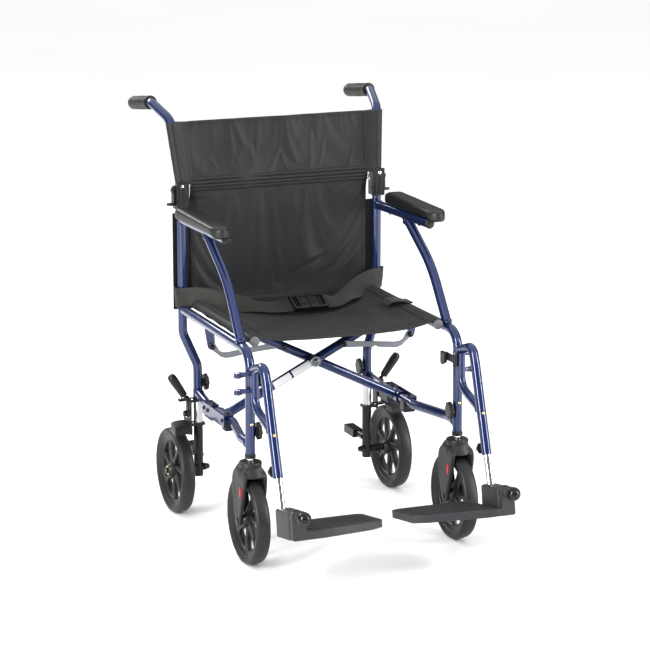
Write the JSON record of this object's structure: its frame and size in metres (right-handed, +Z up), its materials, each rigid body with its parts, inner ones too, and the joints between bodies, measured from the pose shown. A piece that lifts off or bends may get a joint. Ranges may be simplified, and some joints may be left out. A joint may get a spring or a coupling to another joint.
{
  "type": "transport wheelchair",
  "caption": "Folding transport wheelchair with cross-braced tube frame, sling seat, fold-down back, swivel front casters, rear brakes, padded arms and swing-away footrests.",
  "frame": {"origin": "on the floor, midway between the left and right sides and midway between the front of the footrest knobs and the back of the hand grips", "axes": "+X to the right as seen from the front, -Y the way the sitter faces, +Z up"},
  "size_m": [0.602, 1.0489, 0.9712],
  "materials": {
    "blue_frame": "gloss metallic blue powder coat",
    "black_plastic": "satin moulded plastic",
    "black_steel": "satin black paint",
    "pad": "satin self-skinned foam",
    "tyre": "matte dark grey",
    "wheel_plastic": "satin black",
    "chrome": "polished",
    "footrest_plastic": "textured dark grey",
    "link_steel": "satin light grey",
    "grip_rubber": "ribbed matte grey",
    "fabric": "charcoal coated nylon weave",
    "webbing": "olive-black woven webbing"
  },
  "bodies": {
    "left_frame": {"rear_post_left": "blue_frame", "seat_side_tube_left": "blue_frame", "lower_rail_left": "blue_frame", "arm_frame_left": "blue_frame", "arm_pad_left": "pad", "rear_leg_left": "black_steel", "back_hinge_left": "black_plastic", "lap_belt_left": "webbing", "back_lower_panel": "fabric"},
    "right_frame": {"rear_post_right": "blue_frame", "seat_side_tube_right": "blue_frame", "lower_rail_right": "blue_frame", "arm_frame_right": "blue_frame", "arm_pad_right": "pad", "rear_leg_right": "black_steel", "back_hinge_right": "black_plastic", "lap_belt_right": "webbing"},
    "brace_b": {"brace_tube_b": "blue_frame", "pivot_bolt": "link_steel", "seat_sling": "fabric"},
    "brace_a": {"brace_tube_a": "blue_frame"},
    "guide_link_left": {"guide_link_left": "link_steel"},
    "caster_fork_left": {"caster_fork_left": "black_plastic"},
    "caster_wheel_left": {"caster_wheel_left": "tyre"},
    "rear_wheel_left": {"rear_rim_left": "wheel_plastic", "rear_tyre_left": "tyre"},
    "brake_lever_left": {"brake_lever_left": "black_plastic"},
    "brake_shoe_left": {"brake_shoe_left": "black_plastic"},
    "rear_knob_left": {"rear_knob_left": "black_plastic"},
    "front_knob_left": {"front_knob_left": "black_plastic"},
    "hanger_left": {"hanger_left": "blue_frame"},
    "hanger_latch_left": {"hanger_latch_left": "black_plastic"},
    "footrest_left": {"footrest_tube_left": "chrome", "heel_bracket_left": "footrest_plastic"},
    "footplate_left": {"footplate_left": "footrest_plastic", "footplate_pin_left": "black_plastic"},
    "cane_left": {"cane_left": "blue_frame", "hand_grip_left": "grip_rubber", "back_upper_panel": "fabric"},
    "back_release_left": {"back_release_left": "black_plastic"},
    "guide_link_right": {"guide_link_right": "link_steel"},
    "caster_fork_right": {"caster_fork_right": "black_plastic"},
    "caster_wheel_right": {"caster_wheel_right": "tyre"},
    "rear_wheel_right": {"rear_rim_right": "wheel_plastic", "rear_tyre_right": "tyre"},
    "brake_lever_right": {"brake_lever_right": "black_plastic"},
    "brake_shoe_right": {"brake_shoe_right": "black_plastic"},
    "rear_knob_right": {"rear_knob_right": "black_plastic"},
    "front_knob_right": {"front_knob_right": "black_plastic"},
    "hanger_right": {"hanger_right": "blue_frame"},
    "hanger_latch_right": {"hanger_latch_right": "black_plastic"},
    "footrest_right": {"footrest_tube_right": "chrome", "heel_bracket_right": "footrest_plastic"},
    "footplate_right": {"footplate_right": "footrest_plastic", "footplate_pin_right": "black_plastic"},
    "cane_right": {"cane_right": "blue_frame", "hand_grip_right": "grip_rubber"},
    "back_release_right": {"back_release_right": "black_plastic"},
    "buckle_socket": {"buckle_socket": "black_plastic"},
    "buckle_tongue": {"buckle_tongue": "black_plastic"}
  },
  "joints": [
    {"name": "fold", "type": "hinge", "parent": "left_frame", "child": "brace_b", "pos_m": [-0.2215, 0.053, 0.275], "axis": [0, -1, 0], "range_deg": [0, 44], "deforming": ["seat_sling", "back_lower_panel", "back_upper_panel", "lap_belt_left", "lap_belt_right"]},
    {"name": "brace_scissor", "type": "hinge", "parent": "brace_b", "child": "brace_a", "pos_m": [0, 0.064, 0.386], "axis": [0, -1, 0], "range_deg": [-88, 0]},
    {"name": "right_frame_hinge", "type": "hinge", "parent": "brace_a", "child": "right_frame", "pos_m": [0.2215, 0.076, 0.275], "axis": [0, -1, 0], "range_deg": [0, 44]},
    {"name": "guide_link_right_hinge", "type": "hinge", "parent": "brace_b", "child": "guide_link_right", "pos_m": [0.06973, 0.04, 0.42095], "axis": [0, -1, 0], "range_deg": [-112.48, 0]},
    {"name": "guide_link_left_hinge", "type": "hinge", "parent": "brace_a", "child": "guide_link_left", "pos_m": [-0.06973, 0.089, 0.42095], "axis": [0, -1, 0], "range_deg": [0, 112.48]},
    {"name": "caster_swivel_left", "type": "hinge", "parent": "left_frame", "child": "caster_fork_left", "pos_m": [-0.251, -0.199, 0.24], "axis": [0, 0, 1], "continuous": true},
    {"name": "caster_spin_left", "type": "hinge", "parent": "caster_fork_left", "child": "caster_wheel_left", "pos_m": [-0.251, -0.187, 0.10073], "axis": [1, 0, 0], "continuous": true},
    {"name": "rear_wheel_spin_left", "type": "hinge", "parent": "left_frame", "child": "rear_wheel_left", "pos_m": [-0.276, 0.245, 0.10073], "axis": [1, 0, 0], "continuous": true},
    {"name": "brake_lever_left", "type": "hinge", "parent": "left_frame", "child": "brake_lever_left", "pos_m": [-0.248, 0.242, 0.236], "axis": [1, 0, 0], "range_deg": [0, 42]},
    {"name": "brake_shoe_left", "type": "hinge", "parent": "left_frame", "child": "brake_shoe_left", "pos_m": [-0.252, 0.242, 0.221], "axis": [1, 0, 0], "range_deg": [0, 14]},
    {"name": "rear_knob_left_turn", "type": "hinge", "parent": "left_frame", "child": "rear_knob_left", "pos_m": [-0.2, 0.251, 0.306], "axis": [1, 0, 0], "continuous": true},
    {"name": "front_knob_left_turn", "type": "hinge", "parent": "left_frame", "child": "front_knob_left", "pos_m": [-0.235, -0.199, 0.306], "axis": [1, 0, 0], "continuous": true},
    {"name": "hanger_swing_left", "type": "hinge", "parent": "left_frame", "child": "hanger_left", "pos_m": [-0.283, -0.209, 0.437], "axis": [0, 0, -1], "range_deg": [0, 90]},
    {"name": "hanger_latch_left_turn", "type": "hinge", "parent": "hanger_left", "child": "hanger_latch_left", "pos_m": [-0.2325, -0.223, 0.428], "axis": [0, 0, -1], "range_deg": [0, 25], "stiffness_Nm_per_rad": 0.014998},
    {"name": "footrest_length_left", "type": "slide", "parent": "hanger_left", "child": "footrest_left", "axis": [0, -0.3251, -0.9457], "range_m": [-0.04, 0.06]},
    {"name": "footplate_flip_left", "type": "hinge", "parent": "footrest_left", "child": "footplate_left", "pos_m": [-0.245, -0.39, 0.173], "axis": [0, -0.9848, 0.1736], "range_deg": [0, 90]},
    {"name": "cane_fold_left", "type": "hinge", "parent": "left_frame", "child": "cane_left", "pos_m": [-0.246, 0.273, 0.76], "axis": [-1, 0, 0], "range_deg": [0, 120]},
    {"name": "back_release_left_press", "type": "hinge", "parent": "left_frame", "child": "back_release_left", "pos_m": [-0.2646, 0.27, 0.773], "axis": [0, 1, 0], "range_deg": [0, 12], "stiffness_Nm_per_rad": 0.014998},
    {"name": "caster_swivel_right", "type": "hinge", "parent": "right_frame", "child": "caster_fork_right", "pos_m": [0.251, -0.199, 0.24], "axis": [0, 0, 1], "continuous": true},
    {"name": "caster_spin_right", "type": "hinge", "parent": "caster_fork_right", "child": "caster_wheel_right", "pos_m": [0.251, -0.187, 0.10073], "axis": [1, 0, 0], "continuous": true},
    {"name": "rear_wheel_spin_right", "type": "hinge", "parent": "right_frame", "child": "rear_wheel_right", "pos_m": [0.276, 0.245, 0.10073], "axis": [1, 0, 0], "continuous": true},
    {"name": "brake_lever_right", "type": "hinge", "parent": "right_frame", "child": "brake_lever_right", "pos_m": [0.248, 0.242, 0.236], "axis": [1, 0, 0], "range_deg": [0, 42]},
    {"name": "brake_shoe_right", "type": "hinge", "parent": "right_frame", "child": "brake_shoe_right", "pos_m": [0.252, 0.242, 0.221], "axis": [1, 0, 0], "range_deg": [0, 14]},
    {"name": "rear_knob_right_turn", "type": "hinge", "parent": "right_frame", "child": "rear_knob_right", "pos_m": [0.2, 0.251, 0.306], "axis": [1, 0, 0], "continuous": true},
    {"name": "front_knob_right_turn", "type": "hinge", "parent": "right_frame", "child": "front_knob_right", "pos_m": [0.235, -0.199, 0.306], "axis": [1, 0, 0], "continuous": true},
    {"name": "hanger_swing_right", "type": "hinge", "parent": "right_frame", "child": "hanger_right", "pos_m": [0.283, -0.209, 0.437], "axis": [0, 0, 1], "range_deg": [0, 90]},
    {"name": "hanger_latch_right_turn", "type": "hinge", "parent": "hanger_right", "child": "hanger_latch_right", "pos_m": [0.2325, -0.223, 0.428], "axis": [0, 0, 1], "range_deg": [0, 25], "stiffness_Nm_per_rad": 0.014998},
    {"name": "footrest_length_right", "type": "slide", "parent": "hanger_right", "child": "footrest_right", "axis": [0, -0.3251, -0.9457], "range_m": [-0.04, 0.06]},
    {"name": "footplate_flip_right", "type": "hinge", "parent": "footrest_right", "child": "footplate_right", "pos_m": [0.245, -0.39, 0.173], "axis": [0, 0.9848, -0.1736], "range_deg": [0, 90]},
    {"name": "cane_fold_right", "type": "hinge", "parent": "right_frame", "child": "cane_right", "pos_m": [0.246, 0.273, 0.76], "axis": [-1, 0, 0], "range_deg": [0, 120]},
    {"name": "back_release_right_press", "type": "hinge", "parent": "right_frame", "child": "back_release_right", "pos_m": [0.2646, 0.27, 0.773], "axis": [0, -1, 0], "range_deg": [0, 12], "stiffness_Nm_per_rad": 0.014998},
    {"name": "belt_left", "type": "slide", "parent": "left_frame", "child": "buckle_socket", "axis": [-0.6566, 0, 0.7543], "range_m": [0, 0.21213]},
    {"name": "belt_right", "type": "slide", "parent": "right_frame", "child": "buckle_tongue", "axis": [0.6566, 0, 0.7543], "range_m": [0, 0.21213]}
  ],
  "couplings": [
    {"joint": "brace_scissor", "follows": "fold", "ratio": -2},
    {"joint": "right_frame_hinge", "follows": "fold", "ratio": 1},
    {"joint": "guide_link_right_hinge", "follows": "fold", "ratio": -2.5561},
    {"joint": "guide_link_left_hinge", "follows": "fold", "ratio": 2.5561},
    {"joint": "brake_shoe_left", "follows": "brake_lever_left", "ratio": 0.33333},
    {"joint": "footplate_flip_left", "follows": "fold", "ratio": 2.0455},
    {"joint": "brake_shoe_right", "follows": "brake_lever_right", "ratio": 0.33333},
    {"joint": "footplate_flip_right", "follows": "fold", "ratio": 2.0455},
    {"joint": "cane_fold_right", "follows": "cane_fold_left", "ratio": 1},
    {"joint": "belt_left", "follows": "fold", "m_per_rad": 0.27622},
    {"joint": "belt_right", "follows": "fold", "m_per_rad": 0.27622}
  ]
}
